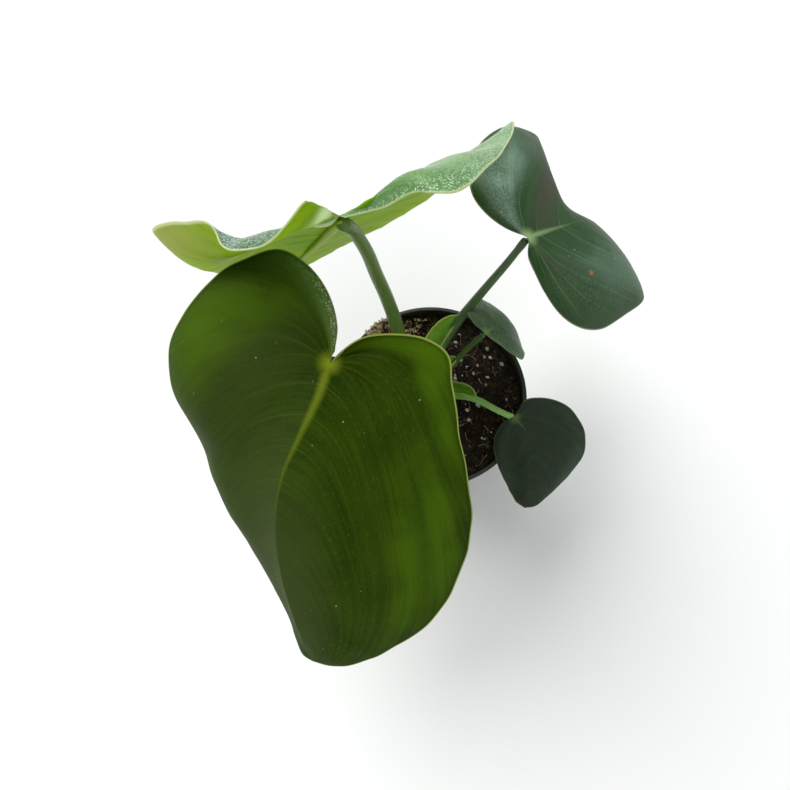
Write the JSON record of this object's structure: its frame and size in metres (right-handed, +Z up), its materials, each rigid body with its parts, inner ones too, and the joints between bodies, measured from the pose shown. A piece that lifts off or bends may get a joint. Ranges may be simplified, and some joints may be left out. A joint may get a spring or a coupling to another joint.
{
  "type": "potted heart-leaved philodendron",
  "caption": "Potted aroid houseplant: large heart-shaped leaves on long arching stalks rise from a short stem in potting mix in a round tapered nursery pot.",
  "frame": {"origin": "centre of the pot's base, on the plane it stands on", "axes": "+Z up, along the pot's axis; +Y away from the picture's camera; +X to the right in the picture"},
  "size_m": [0.2519, 0.2802, 0.286],
  "materials": {
    "pot": "satin",
    "soil": "matte",
    "stem": "matte",
    "leaf_front": "satin",
    "leaf_back": "satin",
    "leaf_right": "satin",
    "leaf_small_front": "satin",
    "leaf_small_back": "satin"
  },
  "bodies": {
    "root": {"pot": "pot", "soil": "soil", "stem": "stem", "leaf_front": "leaf_front", "leaf_back": "leaf_back", "leaf_right": "leaf_right", "leaf_small_front": "leaf_small_front", "leaf_small_back": "leaf_small_back"}
  },
  "joints": []
}
